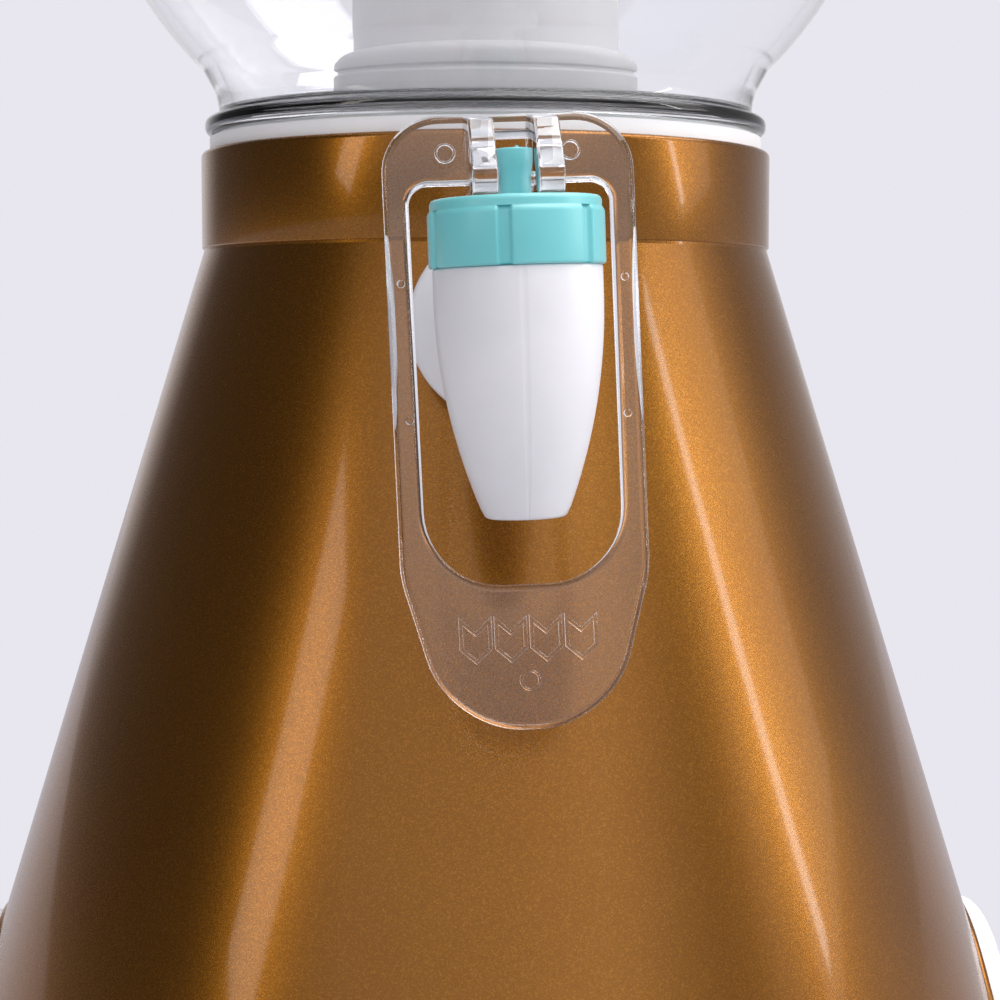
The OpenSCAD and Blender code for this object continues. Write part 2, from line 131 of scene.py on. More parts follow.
# %% [markdown]
# Moulded plastic is never one flat colour. It has a faint cloudiness from the way it flowed into the mould and
# a very fine skin texture that softens its highlights. One recipe makes every opaque plastic and rubber here:
# a slow noise shifts the colour between two close shades, and a fine noise feeds roughness and bump.

# %% Moulded plastic and rubber
def moulded(name, shade, light, roughness, grain_mm=0.6, bump=0.05, sheen=0.0, subsurface=0.0):
    material, tree, surface = new_material(name, IOR=1.5, Coat_Weight=sheen, Coat_Roughness=0.32,
                                           Subsurface_Weight=subsurface)
    place = add_node(tree, "ShaderNodeTexCoord").outputs["Object"]
    cloud = add_node(tree, "ShaderNodeTexNoise", {"Scale": 1 / (25 * MM), "Detail": 3.0}, Vector=place)
    tint = ramp(tree, cloud.outputs["Fac"], [(0.35, colour(shade)), (0.65, colour(light))])
    tree.links.new(tint.outputs["Color"], surface.inputs["Base Color"])
    grain = add_node(tree, "ShaderNodeTexNoise", {"Scale": 1 / (grain_mm * MM), "Detail": 2.0}, Vector=place)
    rough = add_node(tree, "ShaderNodeMapRange", {"To Min": roughness - 0.05, "To Max": roughness + 0.05},
                     Value=grain.outputs["Fac"])
    tree.links.new(rough.outputs["Result"], surface.inputs["Roughness"])
    relief = add_node(tree, "ShaderNodeBump", {"Strength": bump, "Distance": 0.1 * MM},
                      Height=grain.outputs["Fac"])
    tree.links.new(relief.outputs["Normal"], surface.inputs["Normal"])
    if subsurface:
        surface.inputs["Subsurface Radius"].default_value = (1.0, 0.9, 0.8)
        surface.inputs["Subsurface Scale"].default_value = 1.5 * MM
    return material


white_abs = moulded("white_abs", "#e6e6ea", "#efeff2", 0.3, subsurface=0.1)
milky_pp = moulded("milky_polypropylene", "#f8f8f9", "#ffffff", 0.38, subsurface=0.2)
teal_abs = moulded("teal_abs", "#6ccbcf", "#78d3d7", 0.4, sheen=1.0, subsurface=0.15)
white_epdm = moulded("white_epdm_rubber", "#dcdcdd", "#e6e6e7", 0.5, grain_mm=0.4, bump=0.1)
silicone = moulded("silicone_rubber", "#dfe3e2", "#ebeeed", 0.42, grain_mm=0.5, bump=0.06, subsurface=0.2)
dark_pp = moulded("dark_polypropylene", "#2c2926", "#38342f", 0.55, grain_mm=0.8, bump=0.25)
black_rubber = moulded("black_nitrile_rubber", "#141414", "#1f1f1f", 0.75, grain_mm=0.5, bump=0.35)
print("plastics and rubbers made")


# %% [markdown]
# The base is moulded in plastic and sprayed with a bronze metallic lacquer. Real metallic paint is a layer of
# tiny aluminium and bronze flakes under a clear coat: the flakes give the wide, soft, golden highlight, and the
# clear coat adds a sharper, paler reflection on top that is strongest near the outline. Here a high metallic
# value stands for the flakes, a fine cell pattern gives each flake its own brightness, and the coat is real.
# Real flakes are about 0.03 mm across, so they are drawn several times as coarse, or they would not show.

# %% Bronze metallic lacquer
def bronze_lacquer():
    flake_mm = 0.22
    cloud_mm = 60
    speck_mm = 9
    material, tree, surface = new_material("bronze_metallic_lacquer", Metallic=0.95, Coat_Weight=0.5,
                                           Coat_Roughness=0.07, Coat_IOR=1.5)
    place = add_node(tree, "ShaderNodeTexCoord").outputs["Object"]
    flakes = add_node(tree, "ShaderNodeTexVoronoi", {"Scale": 1 / (flake_mm * MM)}, Vector=place)
    glint = add_node(tree, "ShaderNodeSeparateColor", Color=flakes.outputs["Color"])
    base = ramp(tree, glint.outputs["Red"], [
        (0.0, colour("#8e5b14")), (0.7, colour("#976118")), (1.0, colour("#aa7124"))])
    cloud = add_node(tree, "ShaderNodeTexNoise", {"Scale": 1 / (cloud_mm * MM), "Detail": 4.0}, Vector=place)
    veil = ramp(tree, cloud.outputs["Fac"], [(0.3, colour("#efe9e2")), (0.7, colour("#ffffff"))])
    mixed = add_node(tree, "ShaderNodeMix", {"data_type": "RGBA", "blend_type": "MULTIPLY", "Factor": 1.0},
                     i6=base.outputs["Color"], i7=veil.outputs["Color"])
    specks = add_node(tree, "ShaderNodeTexVoronoi", {"Scale": 1 / (speck_mm * MM)}, Vector=place)
    dust = ramp(tree, specks.outputs["Distance"], [(0.0, 1.0), (0.02, 0.0)])
    dusty = add_node(tree, "ShaderNodeMix", {"data_type": "RGBA"},
                     i0=dust.outputs["Color"], i6=mixed.outputs[2])
    dusty.inputs[7].default_value = colour("#b99468")
    tree.links.new(dusty.outputs[2], surface.inputs["Base Color"])
    rough = add_node(tree, "ShaderNodeMapRange", {"To Min": 0.24, "To Max": 0.3}, Value=glint.outputs["Green"])
    tree.links.new(rough.outputs["Result"], surface.inputs["Roughness"])
    return material


bronze = bronze_lacquer()
print("lacquer made:", bronze.name)


# %% [markdown]
# The globe and the lever are clear plastic with polished faces. They are real closed walls, so the shader only
# needs full transmission and an index of refraction close to the plastic's own. A very faint waviness keeps the
# highlights from looking like perfect optics.

# %% Clear plastic and steel
def clear_plastic(name, tint, roughness, ior, wave_mm, wave):
    material, tree, surface = new_material(name, Transmission_Weight=1.0, IOR=ior)
    place = add_node(tree, "ShaderNodeTexCoord").outputs["Object"]
    noise = add_node(tree, "ShaderNodeTexNoise", {"Scale": 1 / (wave_mm * MM), "Detail": 1.0}, Vector=place)
    shade = ramp(tree, noise.outputs["Fac"], [(0.3, colour(tint)), (0.7, colour("#fdfeff"))])
    tree.links.new(shade.outputs["Color"], surface.inputs["Base Color"])
    rough = add_node(tree, "ShaderNodeMapRange", {"To Min": roughness, "To Max": roughness + 0.02},
                     Value=noise.outputs["Fac"])
    tree.links.new(rough.outputs["Result"], surface.inputs["Roughness"])
    relief = add_node(tree, "ShaderNodeBump", {"Strength": wave, "Distance": 0.2 * MM},
                      Height=noise.outputs["Fac"])
    tree.links.new(relief.outputs["Normal"], surface.inputs["Normal"])
    return material


def turned_steel():
    material, tree, surface = new_material("zinc_plated_steel", Metallic=1.0)
    place = add_node(tree, "ShaderNodeTexCoord").outputs["Object"]
    noise = add_node(tree, "ShaderNodeTexNoise", {"Scale": 1 / (0.4 * MM), "Detail": 3.0}, Vector=place)
    shade = ramp(tree, noise.outputs["Fac"], [(0.3, colour("#a9abad")), (0.7, colour("#c6c8ca"))])
    tree.links.new(shade.outputs["Color"], surface.inputs["Base Color"])
    rough = add_node(tree, "ShaderNodeMapRange", {"To Min": 0.22, "To Max": 0.38}, Value=noise.outputs["Fac"])
    tree.links.new(rough.outputs["Result"], surface.inputs["Roughness"])
    return material


clear_globe = clear_plastic("clear_styrene_globe", "#fefefe", roughness=0.0, ior=1.5, wave_mm=40, wave=0.03)
clear_lever = clear_plastic("clear_styrene_lever", "#f6f7fa", roughness=0.0, ior=1.55, wave_mm=25, wave=0.004)
steel = turned_steel()
print("clear plastics and steel made")


# %% [markdown]
# Most parts of a dispenser are turned shapes: a section swept once round an axis. Each section is a short list
# of corners, and a corner may carry a third number, the radius that the mould gives it. The corners are
# rounded on the flat section with the bevel operator, before it is spun, so every edge catches the light as a
# moulded edge does. After the spin the poles are merged and the normals are made to point outwards.

# %% Turned pieces
def finish_piece(bm, name, body, place, material, replaced=(), sharp=40):
    bmesh.ops.remove_doubles(bm, verts=bm.verts[:], dist=1e-4)
    bmesh.ops.recalc_face_normals(bm, faces=bm.faces[:])
    bm.transform(place)
    for face in bm.faces:
        face.smooth = True
    for edge in bm.edges:
        if len(edge.link_faces) == 2 and edge.calc_face_angle() > math.radians(sharp):
            edge.smooth = False
    mesh = bpy.data.meshes.new(name)
    bm.to_mesh(mesh)
    bm.free()
    piece = bpy.data.objects.new(name, mesh)
    bpy.context.scene.collection.objects.link(piece)
    mesh.materials.append(material)
    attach(piece, body)
    if replaced:
        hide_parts(*replaced)
    print(name, "made with", len(mesh.polygons), "faces")
    return piece


def section(bm, corners, closed=True):
    points = [bm.verts.new((c[0], 0, c[1])) for c in corners]
    pairs = list(zip(points, points[1:])) + ([(points[-1], points[0])] if closed else [])
    for a, b in pairs:
        bm.edges.new((a, b))
    by_radius = {}
    for point, corner in zip(points, corners):
        if len(corner) > 2:
            by_radius.setdefault(corner[2], []).append(point)
    for radius, chosen in by_radius.items():
        bmesh.ops.bevel(bm, geom=chosen, offset=radius, offset_type="OFFSET", segments=5, profile=0.5,
                        affect="VERTICES", material=-1)


def spin_section(bm, corners, steps=144, closed=True):
    section(bm, corners, closed)
    bmesh.ops.spin(bm, geom=bm.verts[:] + bm.edges[:], cent=(0, 0, 0), axis=(0, 0, 1), angle=math.tau,
                   steps=steps, use_merge=True)
    bmesh.ops.remove_doubles(bm, verts=bm.verts[:], dist=1e-4)


def turned(name, corners, body, place, material, replaced=(), steps=144, closed=True):
    bm = bmesh.new()
    spin_section(bm, corners, steps, closed)
    return finish_piece(bm, name, body, place, material, replaced)


def arc(x, z, radius, start, end, count):
    steps = [start + (end - start) * i / count for i in range(count + 1)]
    return [(x + radius * math.cos(math.radians(a)), z + radius * math.sin(math.radians(a))) for a in steps]


print("turning helpers ready")


# %% [markdown]
# ## Camera
# The picture is taken from just above the tap's height, close enough that the tap looks noticeably larger than
# the parts behind it. The lens is long, and the camera looks down by about four degrees. It stands a few
# degrees to the left of the tap, which is why the tap sits a little right of the middle of the neck.

# %% The camera
eye_height = 0.219
camera_distance = 0.487
camera_swing = math.radians(2.85)
camera_pitch = math.radians(4.16)
camera_yaw = math.radians(0.37)
sensor_mm = 36.0
focal_mm = 79.2

camera_data = bpy.data.cameras.new("camera")
camera_data.sensor_width = sensor_mm
camera_data.lens = focal_mm
camera_data.clip_start = 0.01
camera = bpy.data.objects.new("camera", camera_data)
bpy.context.scene.collection.objects.link(camera)
camera.location = (-camera_distance * math.sin(camera_swing), -camera_distance * math.cos(camera_swing),
                   eye_height)
camera.rotation_euler = (math.pi / 2 - camera_pitch, 0, -camera_swing - camera_yaw)
bpy.context.scene.camera = camera
print("camera at", [round(v, 3) for v in camera.location])


# %% [markdown]
# ## Globe
# The reservoir is one hollow shell of clear plastic: a lower bead that rests on the seal, a short straight
# neck, a sphere, and a straight collar round the mouth. It is turned from one closed section, walls and all, so
# light bends twice at each wall, as it does in the real one.

# %% The clear globe
globe_wall = 3
bead_round = 1.4
globe_neck_r = 58
mouth_collar_r = 55
mouth_h = 11
spigot_r = 51.35
flange_z = globe_low.z + 11
flange_top = flange_z + 3.5
globe_r = globe_high.x
bead_r = 61
ball_z = flange_top + 7.6 + math.sqrt(globe_r ** 2 - globe_neck_r ** 2)
low_angle = -math.degrees(math.acos(globe_neck_r / globe_r))
high_angle = math.degrees(math.acos(mouth_collar_r / globe_r))
in_r = globe_r - globe_wall
in_low = -math.degrees(math.acos((globe_neck_r - globe_wall) / in_r))
in_high = math.degrees(math.acos((mouth_collar_r - globe_wall) / in_r))

globe_section = (
    [(spigot_r - globe_wall, globe_low.z, 0.8), (spigot_r, globe_low.z, 0.8), (spigot_r, flange_z, 0.4)]
    + [(bead_r, flange_z, bead_round), (bead_r, flange_top, bead_round), (globe_neck_r, flange_top, 1.2)]
    + [(globe_neck_r, flange_top + 4.5, 2.5)]
    + arc(0, ball_z, globe_r, low_angle + 3, high_angle - 2, 56)
    + [(mouth_collar_r, globe_high.z - mouth_h + 1, 1.0), (mouth_collar_r, globe_high.z, 1.2)]
    + [(mouth_collar_r - globe_wall, globe_high.z, 1.2)]
    + arc(0, ball_z, in_r, in_high, in_low + 3, 56)
    + [(globe_neck_r - globe_wall, flange_top + 3.0, 2.0), (globe_neck_r - globe_wall, flange_top + 0.6, 1.0)]
    + [(spigot_r - globe_wall, flange_top - 2.0, 1.5)]
)
turned("clear_globe", globe_section, "base", world_place, clear_globe, ["globe"], 180)


# %% [markdown]
# ## Shell, neck band and side ports
# The cone is one tall moulding, and its walls come straight from the engineering model. Where the cone meets
# the straight neck the real moulding has a fine step, and the top of the neck is rolled over. A thin band
# turned over the neck gives both: it stands a fraction of a millimetre proud with rounded ends.

# %% The neck band
neck_r = 61.5
neck_foot_z = rim_z - 21
band_proud = 0.35
neck_section = [
    (neck_r - 3, rim_z - 0.2, 0.2), (neck_r - 3, rim_z + 0.25, 0.2), (neck_r + band_proud, rim_z + 0.25, 1.1),
    (neck_r + band_proud, neck_foot_z + 0.6, 0.25), (neck_r - 0.4, neck_foot_z + 0.6),
    (neck_r - 0.4, rim_z - 0.2),
]
turned("neck_band", neck_section, "base", world_place, bronze, steps=180)

# %% [markdown]
# Each side port is a round hole seen from the side, cut through a sloping wall. Its bezel therefore has a
# wavy rim that follows the cone. It is turned as a plain ring, pointing sideways, and then every ring of its
# outer end slides along until it stands the same small height above the cone everywhere.

# %% The port bezels
shell_slope = (shell_high.x - neck_r) / (neck_foot_z - shell_low.z)
cap_low, cap_high = box_mm("right_side_cap")
port_z = (cap_low.z + cap_high.z) / 2
port_r = (cap_high.z - cap_low.z) / 2
cap_face = cap_high.x
bezel_r = port_r + 2.6
bezel_height = 0.8
bezel_depth = 16
bezel_inner_end = cap_face - bezel_depth
ledge_w = 4


def cone_radius(z):
    return neck_r + shell_slope * (neck_foot_z - z)


def port_bezel(name, side, node):
    bm = bmesh.new()
    rim = 10
    spin_section(bm, [
        (port_r + 0.15, 0, 0.6), (port_r + 0.15, rim, 0.8), (bezel_r, rim, 0.9), (bezel_r, 0, 0.4),
    ], 144)
    bm.transform(Matrix.Rotation(math.radians(90), 4, "Y"))
    for vert in bm.verts:
        height = port_z - vert.co.z
        surface = math.sqrt(max(cone_radius(height) ** 2 - vert.co.y ** 2, 1))
        share = vert.co.x / rim
        outer_end = surface + bezel_height
        vert.co.x = side * (bezel_inner_end + (outer_end - bezel_inner_end) * share if share < 0.5
                            else outer_end - (rim - vert.co.x))
        vert.co.z = height
    ledge = bmesh.new()
    spin_section(ledge, [(port_r - ledge_w, -2, 0.3), (port_r - ledge_w, 0, 0.3), (port_r + 0.5, 0),
                         (port_r + 0.5, -2)], 144)
    ledge.transform(Matrix.Translation((side * bezel_inner_end, 0, port_z))
                    @ Matrix.Rotation(math.radians(side * 90), 4, "Y") @ Matrix.Translation((0, 0, 2)))
    ledge_mesh = bpy.data.meshes.new(name + "_ledge")
    ledge.to_mesh(ledge_mesh)
    ledge.free()
    bm.from_mesh(ledge_mesh)
    bpy.data.meshes.remove(ledge_mesh)
    return finish_piece(bm, name, "base", world_place, bronze, [node])


port_bezel("right_port_bezel", 1, "right_port_collar")
port_bezel("left_port_bezel", -1, "left_port_collar")

# %% [markdown]
# The white caps in the side ports are shallow moulded cups with a very slight crown and a soft edge. The skirt
# behind the face is part of the same turned section.

# %% The side caps
cap_wall = 2.5
cap_crown = 0.6
cap_skirt = 14


def side_cap(name, side, node):
    corners = [
        (0, cap_face), (port_r * 0.5, cap_face - 0.15), (port_r, cap_face - cap_crown, 2.6),
        (port_r, cap_face - cap_skirt, 0.5), (port_r - cap_wall, cap_face - cap_skirt, 0.5),
        (port_r - cap_wall, cap_face - cap_wall - cap_crown, 1.2), (0, cap_face - cap_wall - 0.2),
    ]
    place = world_place @ Matrix.Translation((0, 0, port_z)) @ Matrix.Rotation(math.radians(side * 90), 4, "Y")
    return turned(name, corners, "base", place, white_abs, [node], closed=False)


side_cap("right_port_cap", 1, "right_side_cap")
side_cap("left_port_cap", -1, "left_side_cap")


# %% [markdown]
# ## Lid, knob and ice core
# The lid is a shallow dome with a skirt that drops over the globe's mouth. The knob is a waisted turning with
# a rounded head. Inside the globe stands the ice core, a white tube that screws into a wider collar; both are
# moulded, so each of their edges gets a radius.

# %% The lid and its knob
lid_r = lid_high.x
lid_dome = 8
lid_wall = 3
lid_plate = lid_high.z - lid_dome - lid_wall
lid_skirt = 9
dome_r = (lid_r ** 2 + lid_dome ** 2) / (2 * lid_dome)
dome_half = math.degrees(math.asin(lid_r / dome_r))
core_r = box_mm("core_tube")[1].x
socket_r = core_r + 0.15
lid_section = (
    [(0, lid_plate), (socket_r, lid_plate), (socket_r, lid_plate - 15, 0.4)]
    + [(socket_r + 2, lid_plate - 15, 0.8)]
    + [(socket_r + 2, lid_plate, 0.8), (lid_r - 3, lid_plate, 0.8), (lid_r - 3, lid_plate - lid_skirt, 0.6)]
    + [(lid_r, lid_plate - lid_skirt, 1.2), (lid_r, lid_high.z - lid_dome, 2.2)]
    + arc(0, lid_high.z - dome_r, dome_r, 90 - dome_half * 0.93, 90, 18)
)
turned("lid_dome", lid_section, "lid", world_place, bronze, ["lid"], 180, closed=False)

knob_low, knob_high = box_mm("lid_knob")
knob_r = knob_high.x
knob_section = [
    (0, knob_low.z), (knob_r * 0.72, knob_low.z, 0.4), (knob_r * 0.7, knob_low.z + 2, 1.0),
    (knob_r * 0.46, knob_low.z + 6, 4.0), (knob_r * 0.46, knob_low.z + 10.5, 3.0),
    (knob_r - 0.2, knob_low.z + 13.5, 2.2), (knob_r - 0.2, knob_high.z - 2.5, 2.6),
    (knob_r * 0.45, knob_high.z - 0.3, 3.0), (0, knob_high.z),
]
turned("lid_knob_turned", knob_section, "lid", world_place, bronze, ["lid_knob"], closed=False)

# %% The ice core's tube and collar
cup_low, cup_high = box_mm("core_base")
tube_low, tube_high = box_mm("core_tube")
cup_collar_r = cup_high.x
cup_collar_z = cup_high.z - 21
cup_r = core_r + 1
core_wall = 2
tube_section = [
    (core_r - core_wall, tube_low.z, 0.4), (core_r, tube_low.z, 0.4), (core_r, tube_high.z, 2.0),
    (0, tube_high.z), (0, tube_high.z - core_wall), (core_r - core_wall, tube_high.z - core_wall, 0.8),
]
turned("ice_core_tube", tube_section, "lid", world_place, milky_pp, ["core_tube"])
cup_section = [
    (0, cup_low.z), (cup_r, cup_low.z, 2.5), (cup_r, cup_collar_z - 3, 1.5), (cup_collar_r, cup_collar_z, 1.5),
    (cup_collar_r, cup_high.z - 8.4, 0.4), (cup_collar_r - 0.9, cup_high.z - 7.9, 0.3),
    (cup_collar_r - 0.9, cup_high.z - 6.8, 0.3), (cup_collar_r, cup_high.z - 6.3, 0.4),
    (cup_collar_r, cup_high.z, 3.0),
    (core_r + 0.15, cup_high.z, 0.5), (core_r + 0.15, cup_collar_z), (core_r - 2.5, cup_collar_z),
    (core_r - 2.5, cup_low.z + core_wall, 2.0), (0, cup_low.z + core_wall),
]
turned("ice_core_cup", cup_section, "lid", world_place, milky_pp, ["core_base"])


# %% [markdown]
# ## Tap body
# The tap is a bullet-shaped white moulding with a slim neck, a round wall flange and a threaded shank. The
# bullet is turned about the stem's axis and the neck about the shank's. A hairline runs down the middle of the
# bullet, where the two halves of its mould met: the points on that line are sunk by a tenth of a millimetre.

# %% The tap body
bonnet_low = -14.7
bonnet_high = -3.2
nozzle_end = -57.1
shank_z = -24.0
body_r = 14.4
nozzle_r = 7.0
outlet_r = 4.8
thread_r = 12.6
chamber_r = 10.8
straight_h = 5
bulge_r = ((bonnet_low - straight_h - nozzle_end) ** 2 + (body_r - nozzle_r) ** 2) / (2 * (body_r - nozzle_r))
sweep = math.degrees(math.asin((bonnet_low - straight_h - nozzle_end) / bulge_r))
shank_end = box_mm("tap_body")[1].y - pivot.y / MM
flange_front = 37.9
flange_back = 41.4
flange_r = 18.2
neck_tube_r = 9.2
shank_r = 8.0
way_r = 5.2


def tap_body():
    bm = bmesh.new()
    outside = arc(body_r - bulge_r, bonnet_low - straight_h, bulge_r, -sweep, 0, 20)
    spin_section(bm, [(outlet_r, nozzle_end + 0.1, 0.4), (nozzle_r - 1.2, nozzle_end, 0.3)]
                 + [(outside[0][0] - 0.15, nozzle_end + 0.1, 0.5)] + outside[1:]
                 + [(body_r, bonnet_low, 0.5), (thread_r, bonnet_low), (thread_r, bonnet_low + 8.7, 0.4)]
                 + [(chamber_r, bonnet_low + 8.7, 0.4), (chamber_r, shank_z - 8), (outlet_r, shank_z - 8)], 192)
    for vert in bm.verts:
        reach = math.hypot(vert.co.x, vert.co.y)
        if abs(vert.co.x) < 0.02 and reach > nozzle_r - 0.5 and vert.co.z < bonnet_low:
            vert.co.y *= (reach - 0.12) / reach
    neck = bmesh.new()
    thread = []
    turns = 9
    for i in range(turns):
        thread += [(shank_r, shank_end - 3 - 2 * i), (shank_r - 0.55, shank_end - 4 - 2 * i)]
    spin_section(neck, [
        (way_r, 9), (way_r, shank_end, 0.4), (shank_r - 0.4, shank_end, 0.6)] + thread + [
        (shank_r, shank_end - 24), (shank_r, flange_back), (flange_r, flange_back, 0.5),
        (flange_r, flange_front, 1.4), (neck_tube_r + 1.6, flange_front, 1.4),
        (neck_tube_r, flange_front - 2.5, 1.6), (neck_tube_r, 9),
    ], 144)
    neck.transform(Matrix.Translation((0, 0, shank_z)) @ Matrix.Rotation(math.radians(-90), 4, "X"))
    neck_mesh = bpy.data.meshes.new("tap_neck")
    neck.to_mesh(neck_mesh)
    neck.free()
    bm.from_mesh(neck_mesh)
    bpy.data.meshes.remove(neck_mesh)
    return finish_piece(bm, "tap_moulding", "base", tap_place, white_abs, ["tap_body"])


tap_body()


# %% [markdown]
# ## Bonnet cap and valve stem
# The teal cap screws down on the body. Its side has broad raised lobes with narrow grip grooves between them,
# and a plain lip runs round the top. It is turned with many steps and then the points that fall in a groove
# are pushed inwards, so the grooves stay crisp and the lip above them stays whole.

# %% The bonnet cap
cap_r = 15.0
lip_r = 14.55
lip_h = 2.4
groove_count = 6
groove_turn = -101
groove_half = 4.6
groove_depth = 0.75


def bonnet():
    bm = bmesh.new()
    spin_section(bm, [
        (thread_r + 0.15, bonnet_low, 0.2), (cap_r, bonnet_low, 0.5), (cap_r, bonnet_high - lip_h, 0.5),
        (lip_r, bonnet_high - lip_h + 0.5, 0.2), (lip_r, bonnet_high, 0.9), (2.8, bonnet_high, 0.2),
        (2.8, bonnet_high - 1.6), (thread_r + 0.15, bonnet_high - 1.6),
    ], 360)
    for vert in bm.verts:
        reach = math.hypot(vert.co.x, vert.co.y)
        if reach > lip_r + 0.05 and vert.co.z > bonnet_low - 1:
            turn = (math.degrees(math.atan2(vert.co.y, vert.co.x)) - groove_turn) % (360 / groove_count)
            turn = min(turn, 360 / groove_count - turn)
            depth = groove_depth * min(max((groove_half - turn) / 1.3, 0), 1)
            vert.co.xy *= (reach - depth) / reach
    return finish_piece(bm, "bonnet_grip_cap", "base", tap_place, teal_abs, ["bonnet_cap"],
                        sharp=60)


bonnet()

# %% [markdown]
# The valve stem passes up through the cap and ends in a head that is wider at the top than at the waist. A
# tiny stub of moulding sprue is left on the top of it, slightly off centre.

# %% The valve stem
stem_r = 2.75
stem_head_r = 3.2
stem_top = 5.1
foot_z = shank_z - 8 + 2.5
stem = bmesh.new()
spin_section(stem, [
    (0, foot_z), (4.5, foot_z, 0.3), (4.5, foot_z + 2, 0.3), (stem_r, foot_z + 2, 0.4), (stem_r, 0.4, 1.0),
    (stem_head_r, 2.9, 0.8), (stem_head_r, stem_top, 0.35), (0, stem_top),
], 96, closed=False)
bmesh.ops.create_cone(stem, cap_ends=True, segments=16, radius1=0.42, radius2=0.25, depth=0.5,
                      matrix=Matrix.Translation((0.5, -0.6, stem_top + 0.2)))
finish_piece(stem, "valve_stem_moulding", "stem", tap_place, teal_abs, ["valve_stem"])


# %% [markdown]
# ## Push lever
# The lever is one clear moulding: a flat loop that hangs behind the tap, and two cheeks at its top that reach
# forward, hold the stem between them and roll on the cap. The loop's outline and its window are two polygons
# whose corners are rounded on the flat. Filled between and pulled to their thickness, they become the plate.

# %% The lever's plate
lever_lean = math.radians(8.5)
lever_back = 17
lever_t = 3
half_top = 22.3
half_low = 21.7
lever_up = 12.8
lever_down = 95.1
lever_shoulder = 68.3
half_tip = 14.2
strut = 4.6
window_top = 0.3
window_low = 25.1 - lever_down
edge_round = 1.25
fork_half = stem_head_r + 0.15
cheek_t = 4.3
web_t = 4.4
plate_place = Matrix.Translation((0, lever_back, 0)) @ Matrix.Rotation(math.radians(90) - lever_lean, 4, "X")


def outline(bm, corners):
    """Adds a closed outline in XY. A corner's third number is how far along each side it is rounded."""
    points = [bm.verts.new((x, y, 0)) for x, y, radius in corners]
    for a, b in zip(points, points[1:] + points[:1]):
        bm.edges.new((a, b))
    by_radius = {}
    for point, corner in zip(points, corners):
        if corner[2]:
            by_radius.setdefault(corner[2], []).append(point)
    for radius, chosen in by_radius.items():
        bmesh.ops.bevel(bm, geom=chosen, offset=radius, offset_type="OFFSET", segments=12, profile=0.5,
                        affect="VERTICES", material=-1)


def slab(outlines, thickness, edge=0.0):
    """A closed plate between outlines, centred on the XY plane, with its long edges rounded."""
    bm = bmesh.new()
    for corners in outlines:
        outline(bm, corners)
    bmesh.ops.triangle_fill(bm, edges=bm.edges[:], use_beauty=True)
    pulled = bmesh.ops.extrude_face_region(bm, geom=bm.faces[:])["geom"]
    moved = [part for part in pulled if isinstance(part, bmesh.types.BMVert)]
    bmesh.ops.translate(bm, verts=moved, vec=(0, 0, thickness))
    bmesh.ops.translate(bm, verts=bm.verts[:], vec=(0, 0, -thickness / 2))
    bmesh.ops.recalc_face_normals(bm, faces=bm.faces[:])
    if edge:
        bmesh.ops.dissolve_limit(bm, angle_limit=math.radians(1), verts=bm.verts[:], edges=bm.edges[:])
        rims = [e for e in bm.edges if len(e.link_faces) == 2 and e.calc_face_angle() > math.radians(60)]
        bmesh.ops.bevel(bm, geom=rims, offset=edge, offset_type="OFFSET", segments=4, profile=0.5,
                        affect="EDGES", material=-1)
    return bm


def as_object(bm, name):
    bmesh.ops.recalc_face_normals(bm, faces=bm.faces[:])
    mesh = bpy.data.meshes.new(name)
    bm.to_mesh(mesh)
    bm.free()
    piece = bpy.data.objects.new(name, mesh)
    bpy.context.scene.collection.objects.link(piece)
    return piece


loop_outline = [
    (-half_top, lever_up, 10.3), (half_top, lever_up, 10.3), (half_low, -lever_shoulder, 2.6),
    (half_tip, -lever_down, 12.9), (-half_tip, -lever_down, 12.9), (-half_low, -lever_shoulder, 2.6),
]
window_outline = [
    (-half_top + strut, window_top, 3.5), (-fork_half - 0.6, window_top, 0),
    (-fork_half - 0.6, lever_up - web_t, 0.8), (fork_half + 0.6, lever_up - web_t, 0.8),
    (fork_half + 0.6, window_top, 0), (half_top - strut, window_top, 3.5),
    (half_low - strut, window_low, 13), (-half_low + strut, window_low, 13),
]
plate = slab([loop_outline, window_outline], lever_t, edge_round)
plate.transform(plate_place)
plate_piece = as_object(plate, "lever_plate")
print("lever plate:", len(plate_piece.data.polygons), "faces")

# %% [markdown]
# Each cheek is the skin stretched over four round posts: the heel in front, the brow above the pivot, and the
# plate's top and bottom behind. A convex hull operator stretches that skin, and a small bevel softens it. A
# stud on the inside of each cheek turns in the stem's cross bore. The marks on the plate are round beads: rings
# of points are set square to the path and bridged. The pieces are then joined into one solid, because light
# must not meet an inner wall inside a clear moulding.

# %% Cheeks, studs and raised marks
heel_reach = 8.8
heel_r = 3.15
brow = 8.6
post_r = 1.5
stud_r = 1.2
plate_top = lever_up - post_r


